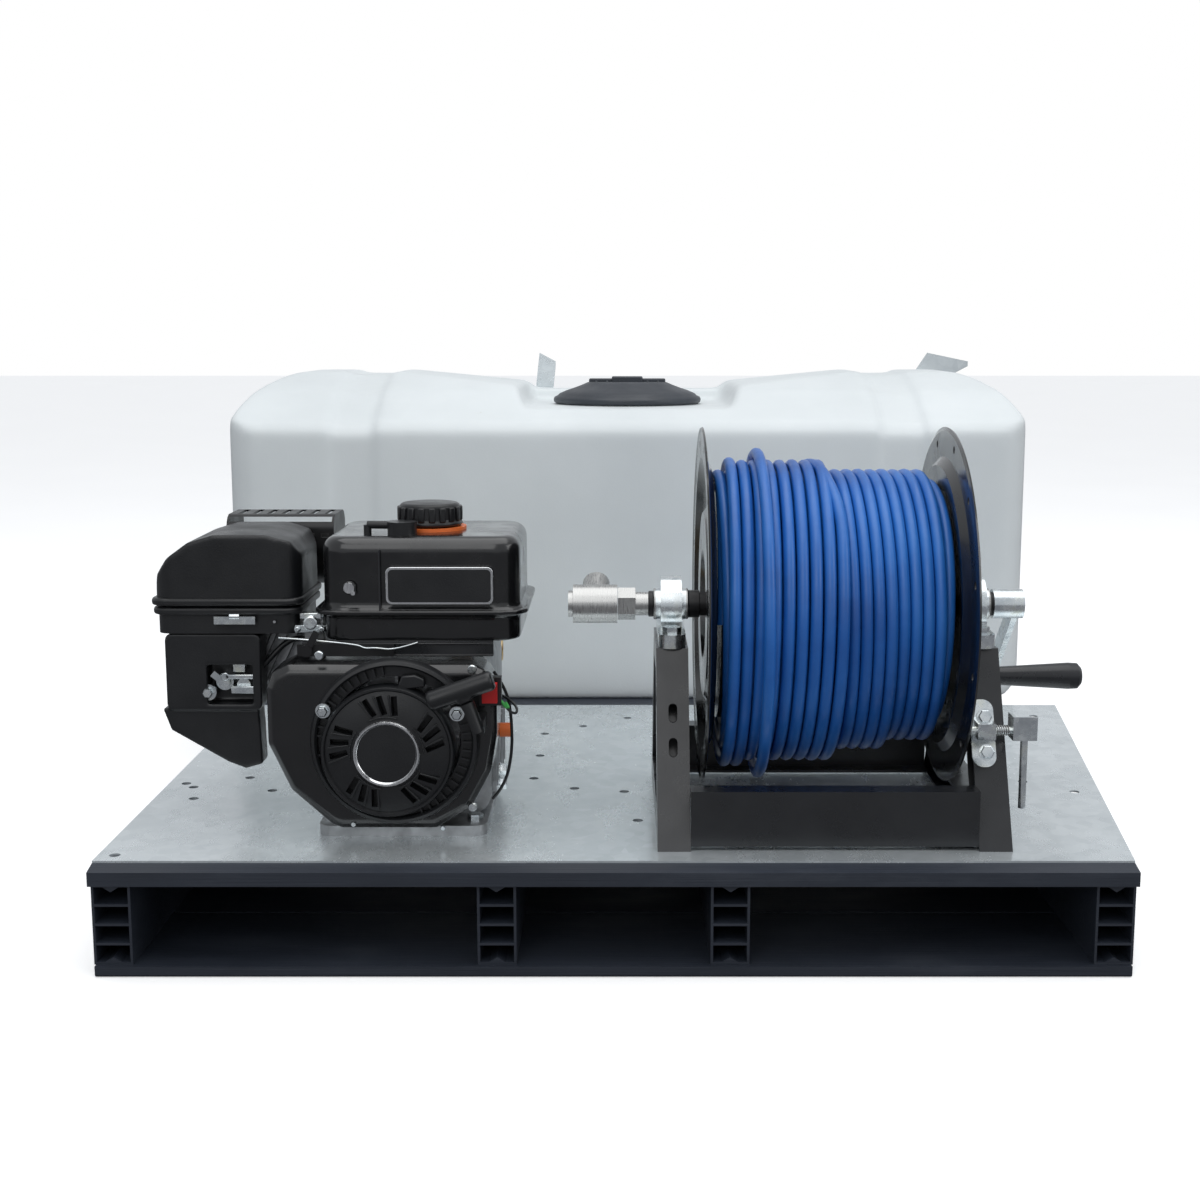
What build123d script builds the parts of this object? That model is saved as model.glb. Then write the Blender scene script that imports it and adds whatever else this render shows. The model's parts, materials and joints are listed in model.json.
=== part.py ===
from build123d import *
import math
import os

# Skid-mounted engine-driven pressure washer. Millimetres, +Z up.
# Origin: on the floor, at the centre of the pallet. The working side faces -Y.

# --- pallet and deck sheet ---
PALLET_W = 1016.0
PALLET_D = 1219.0
BOARD_BOTTOM_T = 11.0
RUNNER_H = 81.0
BOARD_TOP_T = 18.0
BOARD_PITCH = PALLET_D / 8
SEAM_W = 3.0
SEAM_DEEP = 4.0
RUNNER_W = 38.0
RUNNER_X = (-487.5, -113.5, 113.5, 487.5)
RUNNER_WALL = 2.5
RUNNER_SETBACK = 6.0
NOSE_W = 18.0
NOSE_DROP = 4.0
PALLET_TOP = BOARD_BOTTOM_T + RUNNER_H + BOARD_TOP_T
SHEET_T = 2.0
DECK_Z = PALLET_TOP + SHEET_T
SHEET_FRONT_Y = -591.0
SHEET_BACK_Y = 86.0
SHEET_BACK_RIGHT_X = 606.0
HOLE_R = 5.5
SHEET_HOLES = (
    (-491, -573), (-488, -313), (-476, -328), (-464, -374), (-421, -288), (-384, -342),
    (-90, -78), (-91, -188), (-93, -291), (-42, -37), (16, 9), (-45, -333), (11, -346),
    (25, -456), (95, -337), (183, -349), (467, -305), (515, -347), (560, 20), (548, -30),
)

# --- water tank ---
TANK_X = 17.0
TANK_W = 1112.0
TANK_D = 470.0
TANK_FRONT_Y = 133.0
TANK_BACK_Y = TANK_FRONT_Y + TANK_D
TANK_Y = TANK_FRONT_Y + TANK_D / 2
TANK_EDGE_Z = 490.0
TANK_CROWN_Z = 562.0
END_TOP_R = 84.0
END_LOW_R = 42.0
TANK_WALL = 10.0
GROOVE_W = 66.0
GROOVE_X = 380.0
GROOVE_DEEP = 5.0
SADDLE_W = 290.0
SADDLE_Z = 514.0
SADDLE_BACK_Z = 531.0
SADDLE_RAMP_W = 660.0
SADDLE_RAMP_DROP = 18.0
NECK_R = 96.0
NECK_BORE_R = 90.0
NECK_TOP_Z = SADDLE_Z + 16.0
LID_R = 110.0
LID_Y = TANK_Y - 20.0
OUTLET_R = 30.0
OUTLET_BORE_R = 17.0
OUTLET_Z = DECK_Z + 48.0

# --- hose reel ---
REEL_Y = -408.0
REEL_Z = 335.5
POST_X = (60.0, 379.0)
POST_W = 33.0
POST_TOP_Z = 299.0
BASE_D = 310.0
TOP_D = 122.0
LEG_D = 30.0
SHEET_STEEL = 3.0
BEAM_H = 56.0
SHAFT_R = 12.5
SHAFT_FIT = 0.05
BEARING_R = 16.5
FLANGE_X = (101.0, 340.0)
FLANGE_R = 187.0
FLANGE_T = 2.0
FLANGE_OUT = 10.0
FLANGE_BAND = 7.0
RIM_HOLE_R = 4.0
RIM_HOLE_CIRCLE_R = 172.0
CORE_R = 120.0
WINDING_R = 153.0
CRANK_X = 403.0
CRANK_LENGTH = 148.0
CRANK_DROP = math.radians(43)
PORT_TILT = math.radians(20)
PORT_LENGTH = 44.0
GRIP_LENGTH = 97.0
LOCK_PIN_R = 4.0
LOCK_PIN_Y = -528.0
LOCK_PIN_Z = 227.0

# --- engine ---
CRANK_AXIS_X = -218.0
CRANK_AXIS_Z = 218.0
RECOIL_FRONT_Y = -555.0
SHROUD_FRONT_Y = -532.0
SHROUD_BACK_Y = -470.0
BLOCK_BACK_Y = -300.0
CRANKSHAFT_R = 10.0

# --- pump ---


def slab(x0, x1, y0, y1, z0, z1):
    size = Box(x1 - x0, y1 - y0, z1 - z0)
    return Pos((x0 + x1) / 2, (y0 + y1) / 2, (z0 + z1) / 2) * size


def rod_x(x0, x1, y, z, radius):
    return Pos((x0 + x1) / 2, y, z) * Rot(0, 90, 0) * Cylinder(radius, x1 - x0)


def rod_y(y0, y1, x, z, radius):
    return Pos(x, (y0 + y1) / 2, z) * Rot(90, 0, 0) * Cylinder(radius, y1 - y0)


def rod_z(z0, z1, x, y, radius):
    return Pos(x, y, (z0 + z1) / 2) * Cylinder(radius, z1 - z0)


def rod_between(start, end, radius):
    run = Vector(*end) - Vector(*start)
    plane = Plane(origin=start, z_dir=run)
    return plane * Cylinder(radius, run.length, align=(Align.CENTER, Align.CENTER, Align.MIN))


def outline_y(points, y0, y1):
    # An outline in X and Z, extruded from y0 to y1.
    plane = Plane(origin=(0, y0, 0), x_dir=(1, 0, 0), z_dir=(0, -1, 0))
    return extrude(plane * make_face(Polyline(*points, close=True)), -(y1 - y0))


def outline_x(points, x0, x1):
    # An outline in Y and Z, extruded from x0 to x1.
    plane = Plane(origin=(x0, 0, 0), x_dir=(0, 1, 0), z_dir=(1, 0, 0))
    return extrude(plane * make_face(Polyline(*points, close=True)), x1 - x0)


def turned_x(points, y, z):
    # A profile of (x, radius) points, turned about the X axis through (y, z).
    face = make_face(Polyline(*[(x, radius, 0) for x, radius in points], close=True))
    return Pos(0, y, z) * revolve(face, Axis.X)


def turned_y(points, x, z):
    # A profile of (radius, y) points, turned about the Y axis through (x, z).
    face = make_face(Polyline(*[(radius, y, 0) for radius, y in points], close=True))
    return Pos(x, 0, z) * revolve(face, Axis.Y)


def hex_x(x0, x1, y, z, across):
    prism = extrude(RegularPolygon(across / 2, 6, major_radius=False), x1 - x0)
    return Pos(x0, y, z) * Rot(0, 90, 0) * prism


def hex_y(y0, y1, x, z, across):
    prism = extrude(RegularPolygon(across / 2, 6, major_radius=False), y1 - y0)
    return Pos(x, y1, z) * Rot(90, 0, 0) * prism


def round_edges(shape, axis, radius):
    return fillet(shape.edges().filter_by(axis), radius)


# --- pallet ---
def pallet_top_boards():
    low = PALLET_TOP - BOARD_TOP_T
    half_w = PALLET_W / 2
    half_d = PALLET_D / 2
    nose = PALLET_TOP - NOSE_DROP
    profile = (
        (-half_d, low), (half_d, low), (half_d, nose), (half_d - NOSE_W, PALLET_TOP),
        (-half_d + NOSE_W, PALLET_TOP), (-half_d, nose),
    )
    boards = outline_x(profile, -half_w, half_w)
    for board in range(1, 8):
        y = -half_d + board * BOARD_PITCH
        for z in (low, PALLET_TOP):
            boards -= Pos(0, y, z) * Box(PALLET_W + 2, SEAM_W, 2 * SEAM_DEEP)
    return boards


def pallet_bottom_boards():
    half_w = PALLET_W / 2 - 3
    half_d = PALLET_D / 2 - 1
    boards = slab(-half_w, half_w, -half_d, half_d, 0, BOARD_BOTTOM_T)
    boards = chamfer(boards.edges().filter_by(Axis.X).group_by(Axis.Z)[0], 2)
    for board in range(1, 8):
        y = -PALLET_D / 2 + board * BOARD_PITCH
        boards -= Pos(0, y, BOARD_BOTTOM_T) * Box(PALLET_W + 2, SEAM_W, 2 * SEAM_DEEP)
    return boards


def pallet_runner(x):
    z0 = BOARD_BOTTOM_T
    z1 = z0 + RUNNER_H
    y = PALLET_D / 2 - RUNNER_SETBACK
    runner = slab(x - RUNNER_W / 2, x + RUNNER_W / 2, -y, y, z0, z1)
    half = RUNNER_W / 2 - RUNNER_WALL
    cell = (RUNNER_H - 5 * RUNNER_WALL) / 4
    for level in range(4):
        low = z0 + RUNNER_WALL + level * (cell + RUNNER_WALL)
        high = low + cell
        points = [(x - half, low), (x + half, low), (x + half, high), (x - half, high)]
        if level == 0:
            points = [(x - half, low), (x - 8, low), (x, low + 5), (x + 8, low)] + points[1:]
        if level == 3:
            points = points[:3] + [(x + 8, high), (x, high - 5), (x - 8, high)] + points[3:]
        runner -= outline_y(points, -y - 1, y + 1)
    return runner


def deck_sheet():
    half = PALLET_W / 2
    outline = Polyline(
        (-half, SHEET_FRONT_Y), (half, SHEET_FRONT_Y),
        (SHEET_BACK_RIGHT_X, SHEET_BACK_Y), (-half, SHEET_BACK_Y), close=True,
    )
    sheet = Pos(0, 0, PALLET_TOP) * extrude(make_face(outline), SHEET_T)
    for x, y in SHEET_HOLES:
        sheet -= Pos(x, y, PALLET_TOP) * Cylinder(HOLE_R, 3 * SHEET_T)
    return sheet


# --- tank ---
def tank_form(inset):
    # Front, side and plan outlines crossed; inset shrinks every face.
    half = TANK_W / 2 - inset
    low = DECK_Z - SHEET_T + inset
    edge = TANK_EDGE_Z - inset
    crown = TANK_CROWN_Z - inset
    front = TANK_FRONT_Y + inset
    back = TANK_BACK_Y - inset
    across = slab(TANK_X - half, TANK_X + half, front, back, low, crown)
    across = fillet(across.edges().filter_by(Axis.Y).group_by(Axis.Z)[-1], END_TOP_R - inset)
    across = fillet(across.edges().filter_by(Axis.Y).group_by(Axis.Z)[0], END_LOW_R - inset)
    along = slab(TANK_X - half, TANK_X + half, front, back, low, crown)
    along = round_edges(along, Axis.Z, 46 - inset)
    side = (
        (front, low), (back, low), (back, edge), (back - 14, edge + 22), (back - 60, edge + 52),
        (back - 120, crown), (front + 200, crown), (front + 100, edge + 48), (front + 12, edge + 8),
        (front, edge - 6),
    )
    return across & along & outline_x(side, TANK_X - half, TANK_X + half)


def saddle_cut(floor_z, y0, y1, inset):
    # The dip round the lid: long shallow ramps, then short walls down to the floor.
    half = SADDLE_W / 2
    ramp = SADDLE_RAMP_W / 2
    crown = TANK_CROWN_Z - inset
    ramp_z = crown - SADDLE_RAMP_DROP
    floor = floor_z - inset
    outline = (
        (-ramp, crown), (-half - 14, ramp_z), (-half, floor), (half, floor), (half + 14, ramp_z),
        (ramp, crown), (ramp, crown + 60), (-ramp, crown + 60),
    )
    return outline_y([(TANK_X + x, z) for x, z in outline], y0, y1)


def saddle(inset):
    step_y = TANK_BACK_Y - 105
    front = saddle_cut(SADDLE_Z, TANK_FRONT_Y - 1, step_y, inset)
    return front + saddle_cut(SADDLE_BACK_Z, step_y, TANK_BACK_Y + 1, inset)


def water_tank():
    body = tank_form(0)
    grooved = tank_form(GROOVE_DEEP)
    low = DECK_Z - 10
    for side in (-1, 1):
        x = TANK_X + side * GROOVE_X
        band = slab(x - GROOVE_W / 2, x + GROOVE_W / 2, 0, 800, low, 700)
        body = body - (band - grooved)
    body -= saddle(0)
    inner = tank_form(TANK_WALL) - saddle(TANK_WALL)
    body += rod_z(SADDLE_Z - 2, NECK_TOP_Z, TANK_X, LID_Y, NECK_R)
    body -= inner
    body -= rod_z(SADDLE_Z - 40, NECK_TOP_Z + 5, TANK_X, LID_Y, NECK_BORE_R)
    body -= rod_y(TANK_BACK_Y - 20, TANK_BACK_Y + 5, TANK_X, OUTLET_Z, OUTLET_BORE_R + 4)
    return body


def tank_lid():
    top = NECK_TOP_Z + 0.5
    skirt = rod_z(SADDLE_Z + 1.5, top + 6, TANK_X, LID_Y, LID_R)
    skirt -= rod_z(SADDLE_Z, top, TANK_X, LID_Y, NECK_R + 1)
    on_floor = (Align.CENTER, Align.CENTER, Align.MIN)
    cone = Pos(TANK_X, LID_Y, top + 6) * Cone(LID_R - 5, 62, 12, align=on_floor)
    bar = slab(TANK_X - 92, TANK_X + 92, LID_Y - 7, LID_Y + 7, top + 5, top + 19)
    block = slab(TANK_X - 17, TANK_X + 17, LID_Y - 12, LID_Y + 12, top + 15, top + 24)
    return skirt + cone + bar + block


def tank_outlet():
    y0 = TANK_BACK_Y - TANK_WALL - 12
    nut = hex_y(y0, TANK_BACK_Y - TANK_WALL, TANK_X, OUTLET_Z, 52)
    barrel = rod_y(y0, TANK_BACK_Y + 30, TANK_X, OUTLET_Z, OUTLET_BORE_R + 3.8)
    collar = rod_y(TANK_BACK_Y, TANK_BACK_Y + 14, TANK_X, OUTLET_Z, OUTLET_R)
    bore = rod_y(y0 - 1, TANK_BACK_Y + 31, TANK_X, OUTLET_Z, OUTLET_BORE_R)
    return nut + barrel + collar - bore


def rear_stop(x, reach):
    # A galvanised strap on the pallet's back edge, behind the tank; reach bends its top aside.
    y0 = PALLET_D / 2
    low = PALLET_TOP - BOARD_TOP_T + 1
    top = TANK_CROWN_Z + 24
    outline = (
        (x - 14, low), (x + 14, low), (x + 14, top - 60), (x + 14 + reach, top - 22),
        (x + 14 + reach, top - 14), (x - 10 + reach * 0.4, top), (x - 14, top - 50),
    )
    return outline_y(outline, y0, y0 + 3)


# --- hose reel ---
def trapezium(low_half, low, top_half, top):
    return ((-low_half, low), (low_half, low), (top_half, top), (-top_half, top))


def reel_side(x, open_side):
    low = DECK_Z
    foot = BASE_D / 2
    top = TOP_D / 2
    outer = trapezium(foot, low, top, POST_TOP_Z)
    inner = trapezium(foot - 48, low + LEG_D, top - 22, POST_TOP_Z - 26)
    web_outer = trapezium(foot - 4, low + 3, top - 1, POST_TOP_Z - 4)
    web_inner = trapezium(foot - 44, low + LEG_D - 3, top - 18, POST_TOP_Z - 23)
    shift = Pos(0, REEL_Y, 0)
    x0 = x - POST_W / 2
    x1 = x + POST_W / 2
    ring = outline_x(outer, x0, x1) - outline_x(inner, x0 - 1, x1 + 1)
    hollow = outline_x(web_outer, x0, x1) - outline_x(web_inner, x0, x1)
    ring -= Pos(open_side * SHEET_STEEL, 0, 0) * hollow
    side = shift * ring
    for z in (238, 206):
        side -= Pos(x, REEL_Y - 130, z) * Box(9, 90, 9)
        for end in (z - 4.5, z + 4.5):
            side -= rod_y(REEL_Y - 175, REEL_Y - 85, x, end, 4.5)
    for y in (REEL_Y - 49, REEL_Y + 49):
        side -= rod_z(POST_TOP_Z - 6, POST_TOP_Z + 5, x, y, 5.1)
    return side


def reel_beam(y, face):
    x0 = POST_X[0] + POST_W / 2
    x1 = POST_X[1] - POST_W / 2
    z0 = DECK_Z + 4
    plate = slab(x0, x1, min(y, y + face * SHEET_STEEL), max(y, y + face * SHEET_STEEL), z0, z0 + BEAM_H)
    lip_y = y + face * 24
    for z in (z0, z0 + BEAM_H - SHEET_STEEL):
        plate += slab(x0, x1, min(y, lip_y), max(y, lip_y), z, z + SHEET_STEEL)
    return plate


def pillow_block(x):
    z0 = POST_TOP_Z
    half = 14.0
    thin = 11.0
    base = slab(x - half, x + half, REEL_Y - 65, REEL_Y + 65, z0, z0 + 14)
    base = round_edges(base, Axis.Z, 12)
    hump = rod_x(x - thin, x + thin, REEL_Y, REEL_Z, 30)
    hump -= slab(x - 40, x + 40, REEL_Y - 60, REEL_Y + 60, z0 - 50, z0)
    neck = slab(x - thin, x + thin, REEL_Y - 30, REEL_Y + 30, z0, z0 + 22)
    insert = rod_x(x - 16, x + 16, REEL_Y, REEL_Z, BEARING_R)
    block = base + hump + neck + insert
    block -= rod_x(x - 30, x + 30, REEL_Y, REEL_Z, SHAFT_R + SHAFT_FIT)
    for y in (REEL_Y - 49, REEL_Y + 49):
        block -= rod_z(z0 - 1, z0 + 20, x, y, 5.1)
    return block


def pillow_bolts():
    bolts = []
    for x in POST_X:
        for y in (REEL_Y - 49, REEL_Y + 49):
            shank = rod_z(POST_TOP_Z - 12, POST_TOP_Z + 15, x, y, 4.9)
            head = extrude(RegularPolygon(8.5, 6, major_radius=False), 6.5)
            nut = extrude(RegularPolygon(7.5, 6, major_radius=False), 5)
            bolts.append(
                shank + Pos(x, y, POST_TOP_Z + 14.01) * head + Pos(x, y, POST_TOP_Z - 9.01) * nut
            )
    return Compound(bolts)


def reel_shaft():
    left = POST_X[0] - 24
    return rod_x(left, CRANK_X + 6, REEL_Y, REEL_Z, SHAFT_R)


def drum_core():
    # The drum's core tube with its two end discs and the hubs that clamp the shaft.
    x0 = FLANGE_X[0] + 6
    x1 = FLANGE_X[1] - 6
    tube = rod_x(x0, x1, REEL_Y, REEL_Z, CORE_R) - rod_x(x0 - 1, x1 + 1, REEL_Y, REEL_Z, CORE_R - 3)
    for x in (x0, x1 - 3):
        disc = rod_x(x, x + 3, REEL_Y, REEL_Z, CORE_R) - rod_x(x - 1, x + 4, REEL_Y, REEL_Z, SHAFT_R)
        tube += disc
    return tube


def reel_flange(x, out):
    # Pressed disc: flat hub, two raised rings and a rolled rim; out points away from the hose.
    band = out * FLANGE_BAND
    sheet = out * FLANGE_T
    profile = [
        (x, SHAFT_R), (x, 52), (x + out * 5, 60), (x + out * 5, 96), (x, 104), (x, 147),
        (x + band, 156), (x + band, FLANGE_R - 4), (x + out * 8, FLANGE_R),
        (x + out * FLANGE_OUT, FLANGE_R - 1), (x + band + sheet, FLANGE_R - 5),
        (x + band + sheet, 155), (x + sheet, 146), (x + sheet, 105), (x + out * 5 + sheet, 97),
        (x + out * 5 + sheet, 59), (x + sheet, 51), (x + sheet, SHAFT_R),
    ]
    flange = turned_x(profile, REEL_Y, REEL_Z)
    for step in range(12):
        angle = math.radians(15 + 30 * step)
        y = REEL_Y + RIM_HOLE_CIRCLE_R * math.cos(angle)
        z = REEL_Z + RIM_HOLE_CIRCLE_R * math.sin(angle)
        flange -= rod_x(x - 15, x + 15, y, z, RIM_HOLE_R)
    return flange


def hose_winding():
    x0 = FLANGE_X[0] + 6.5
    x1 = FLANGE_X[1] - 6.5
    return rod_x(x0, x1, REEL_Y, REEL_Z, WINDING_R) - rod_x(x0 - 1, x1 + 1, REEL_Y, REEL_Z, CORE_R + 0.3)


def crank_end():
    return (
        CRANK_X,
        REEL_Y + CRANK_LENGTH * math.cos(CRANK_DROP),
        REEL_Z - CRANK_LENGTH * math.sin(CRANK_DROP),
    )


def crank_arm():
    hub = rod_x(CRANK_X - 2, CRANK_X + 30, REEL_Y, REEL_Z, 15.5)
    arm = slab(CRANK_X + 20, CRANK_X + 26, -CRANK_LENGTH - 11, 11, -11, 11)
    arm = fillet(arm.edges().filter_by(Axis.X), 10)
    arm = Pos(0, REEL_Y, REEL_Z) * Rot(math.degrees(-CRANK_DROP) + 180, 0, 0) * arm
    x, y, z = crank_end()
    stud = rod_x(x + 22, x + 26 + GRIP_LENGTH, y, z, 5)
    socket = rod_x(CRANK_X - 3, CRANK_X + 6, REEL_Y, REEL_Z, SHAFT_R)
    return hub + arm + stud - socket


def crank_grip():
    x, y, z = crank_end()
    x0 = x + 27
    profile = [
        (x0, 5.06), (x0, 9), (x0 + 6, 10.5), (x0 + GRIP_LENGTH - 12, 15),
        (x0 + GRIP_LENGTH - 2, 14.5), (x0 + GRIP_LENGTH + 2, 10), (x0 + GRIP_LENGTH + 2, 0),
        (x0 + GRIP_LENGTH, 0), (x0 + GRIP_LENGTH, 5.06),
    ]
    return turned_x(profile, y, z)


def swivel_body():
    x1 = POST_X[0] - 24.5
    big = rod_x(x1 - 79, x1 - 32, REEL_Y, REEL_Z, 20.5)
    ring = rod_x(x1 - 84, x1 - 79.5, REEL_Y, REEL_Z, 14)
    core = rod_x(x1 - 82, x1 - 76, REEL_Y, REEL_Z, 12)
    centre = Vector(x1 - 55, REEL_Y, REEL_Z)
    out = Vector(0, math.cos(PORT_TILT), math.sin(PORT_TILT))
    mouth = centre + out * PORT_LENGTH
    port = rod_between(tuple(centre), tuple(mouth), 14.5)
    bore = rod_between(tuple(mouth - out * 24), tuple(mouth + out), 6.6)
    return big + ring + core + port - bore


def swivel_nut():
    x1 = POST_X[0] - 24.5
    nut = hex_x(x1 - 31.5, x1 - 13, REEL_Y, REEL_Z, 30)
    collar = rod_x(x1 - 13, x1 + 0.5, REEL_Y, REEL_Z, 12.4)
    return nut + collar


def lock_bracket():
    x = POST_X[1]
    y = REEL_Y - BASE_D / 2
    lean = (BASE_D - TOP_D) / 2 / (POST_TOP_Z - DECK_Z)
    plate = slab(x - 18, x + 6, -3, 0, -44, 26)
    plate = fillet(plate.edges().filter_by(Axis.Y), 11)
    angle = math.degrees(math.atan(lean))
    face_y = y + lean * (LOCK_PIN_Z - DECK_Z)
    plate = Pos(0, face_y - 0.3, LOCK_PIN_Z) * Rot(-angle, 0, 0) * plate
    boss = slab(x - 16, x + 2, LOCK_PIN_Y - 8, face_y + 4, LOCK_PIN_Z - 8, LOCK_PIN_Z + 8)
    body = plate + boss - reel_side(x, -1)
    body -= rod_x(x - 40, x + 40, LOCK_PIN_Y, LOCK_PIN_Z, LOCK_PIN_R + SHAFT_FIT)
    return body


def lock_spring():
    x = POST_X[1] + 2.5
    spring = rod_x(x, x + 15, LOCK_PIN_Y, LOCK_PIN_Z, 5.5)
    return spring - rod_x(x - 1, x + 16, LOCK_PIN_Y, LOCK_PIN_Z, LOCK_PIN_R + 0.4)


def lock_pin():
    x = POST_X[1]
    pin = rod_x(FLANGE_X[1] + FLANGE_OUT + 4.7, x + 40, LOCK_PIN_Y, LOCK_PIN_Z, LOCK_PIN_R)
    ear_z = (LOCK_PIN_Z - 8, LOCK_PIN_Z + 16)
    plate = slab(x + 18, x + 21, LOCK_PIN_Y - 12, LOCK_PIN_Y + 12, *ear_z)
    plate += slab(x + 18, x + 42, LOCK_PIN_Y - 12, LOCK_PIN_Y - 9.5, *ear_z)
    cross = rod_z(LOCK_PIN_Z - 80, LOCK_PIN_Z + 4, x + 32, LOCK_PIN_Y, 3.7)
    return pin + plate + cross


# --- engine ---
BLOCK_X = (-304.0, -128.0)
BLOCK_FRONT_Y = -468.0
BLOCK_TOP_Z = 296.0
FOOT_X = (-302.0, -130.0)
FOOT_Y = (-512.0, -350.0)
FOOT_T = 11.0
FOOT_BOLT_X = (-289.0, -143.0)
FOOT_BOLT_Y = (-488.0, -400.0)
DIPSTICK_Y = -448.0
DIPSTICK_Z = 208.0
FUEL_X = (-296.0, -95.0)
FUEL_Y = (-495.0, -330.0)
FUEL_SEAM_Z = 341.0
FUEL_BOTTOM_Z = 311.0
FUEL_TOP_Z = 417.0
FUEL_WALL = 5.5
FILLER = (-193.0, -415.0)
FILLER_BORE_R = 21.0
VENT = (-216.0, -464.0, FUEL_TOP_Z)
CLEANER_X = (-472.0, -321.0)
CLEANER_Y = (-476.0, -350.0)
CLEANER_SEAM_Z = 343.0
CASE_X = (-462.0, -364.0)
CASE_Y = (-470.0, -438.0)
CASE_Z = (234.0, 314.0)
WINDOW_X = (-420.0, -373.0)
WINDOW_Z = (240.0, 282.0)
WINDOW_DEEP = 20.0
GRIP_CENTRE = (-149.0, -567.5, 276.0)
PULL = (-0.33, 0.0, 0.944)


def crankcase():
    x0, x1 = BLOCK_X
    block = slab(x0, x1, BLOCK_FRONT_Y, BLOCK_BACK_Y, DECK_Z + FOOT_T, BLOCK_TOP_Z)
    block = round_edges(block, Axis.Y, 22)
    for y in range(-450, -310, 22):
        rib = slab(x0 - 4, x0 + 4, y, y + 5, DECK_Z + 30, 210)
        rib += slab(x1 - 4, x1 + 4, y, y + 5, DECK_Z + 30, 205)
        block += rib
    foot = slab(FOOT_X[0], FOOT_X[1], FOOT_Y[0], FOOT_Y[1], DECK_Z, DECK_Z + FOOT_T)
    foot = round_edges(foot, Axis.Z, 14)
    for x in FOOT_BOLT_X:
        for y in FOOT_BOLT_Y:
            foot -= rod_z(DECK_Z - 1, DECK_Z + 30, x, y, 4.6)
            block -= rod_z(DECK_Z + FOOT_T - 1, DECK_Z + FOOT_T + 9, x, y, 9.5)
    block += foot
    boss = rod_x(x1 - 8, x1 + 8, DIPSTICK_Y, DIPSTICK_Z, 12)
    block += boss
    block -= rod_x(x1 - 62, x1 + 9, DIPSTICK_Y, DIPSTICK_Z, 3.6)
    block -= rod_y(-600, -200, CRANK_AXIS_X, CRANK_AXIS_Z, CRANKSHAFT_R + SHAFT_FIT)
    return block


def foot_bolts():
    bolts = []
    for x in FOOT_BOLT_X:
        for y in FOOT_BOLT_Y:
            z = DECK_Z + FOOT_T
            head = Pos(x, y, z + 0.01) * extrude(RegularPolygon(7, 6, major_radius=False), 6)
            bolts.append(head + rod_z(DECK_Z + 0.5, z + 1, x, y, 4.4))
    return Compound(bolts)


def cylinder_head():
    # Finned cylinder, tilted 25 degrees up from level, on the side away from the reel.
    angle = -25
    block = Pos(-128, 0, 0) * Box(84, 70, 58)
    for step in range(8):
        block += Pos(-94 - step * 10, 0, 0) * Box(4, 92, 80)
    block += Pos(-176, 0, 0) * Box(16, 84, 72)
    block = Pos(CRANK_AXIS_X, -384, CRANK_AXIS_Z) * Rot(0, -angle, 0) * block
    block -= slab(BLOCK_X[0] - 4.5, BLOCK_X[1], -600, -200, DECK_Z, BLOCK_TOP_Z + 3)
    block -= slab(CLEANER_X[0] - 1, CLEANER_X[1] + 3, CLEANER_Y[0] - 1, CLEANER_Y[1] + 2, 313.5, 430)
    block -= slab(FUEL_X[0] - 8, FUEL_X[1], FUEL_Y[0] - 1, FUEL_Y[1] + 9, FUEL_BOTTOM_Z - 2, 430)
    block -= slab(CASE_X[0] - 1, CASE_X[1] + 2, CASE_Y[0] - 1, CASE_Y[1] + 1, 160, 320)
    return max(block.solids(), key=lambda solid: solid.volume)


def spark_plug():
    y = -384
    plug = rod_between((-398.5, y, 302.5), (-416, y, 311), 7)
    cap = rod_between((-416, y, 311), (-441, y, 311), 9)
    return plug - cylinder_head() + cap - slab(-500, -300, -430, -350, 313.2, 340)


def shroud_outline(inset):
    left = -347.0 + inset
    right = -117.0 - inset
    low = 125.0 + inset
    top = 294.0 - inset
    return (
        (left + 22, top), (left + 6, top - 8), (left, top - 24), (left, 213), (left + 22, 165),
        (left + 62, low + 4), (left + 72, low), (right - 62, low), (right - 26, low + 22),
        (right - 6, low + 60), (right, 222), (right, top - 26), (right - 12, top - 6), (right - 26, top),
    )


def blower_shroud():
    shroud = outline_y(shroud_outline(0), SHROUD_FRONT_Y, SHROUD_BACK_Y)
    front = shroud.edges().group_by(Axis.Y)[0]
    shroud = chamfer(front, 7)
    shroud -= outline_y(shroud_outline(4), SHROUD_FRONT_Y + 9, SHROUD_BACK_Y + 1)
    shroud -= rod_y(-600, -500, CRANK_AXIS_X, CRANK_AXIS_Z, 70)
    shroud -= slab(FOOT_X[0] - 1, FOOT_X[1] + 1, -520, -300, DECK_Z - 1, DECK_Z + FOOT_T + 8)
    return shroud


def recoil_cover():
    y = SHROUD_FRONT_Y
    profile = [
        (0, RECOIL_FRONT_Y), (52, RECOIL_FRONT_Y), (60, RECOIL_FRONT_Y + 5), (62, RECOIL_FRONT_Y + 11),
        (68, RECOIL_FRONT_Y + 11), (72, RECOIL_FRONT_Y + 6), (78, RECOIL_FRONT_Y + 6),
        (82, RECOIL_FRONT_Y + 12), (82, y), (66, y), (66, RECOIL_FRONT_Y + 15), (57, RECOIL_FRONT_Y + 15),
        (50, RECOIL_FRONT_Y + 4), (0, RECOIL_FRONT_Y + 4),
    ]
    cover = turned_y(profile, CRANK_AXIS_X, CRANK_AXIS_Z)
    for step in range(12):
        angle = math.radians(15 + 30 * step)
        x = CRANK_AXIS_X + 43 * math.cos(angle)
        z = CRANK_AXIS_Z + 43 * math.sin(angle)
        slot = Pos(x, RECOIL_FRONT_Y, z) * Rot(0, -math.degrees(angle), 0) * Box(13, 20, 6)
        cover -= slot
    return cover


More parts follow.
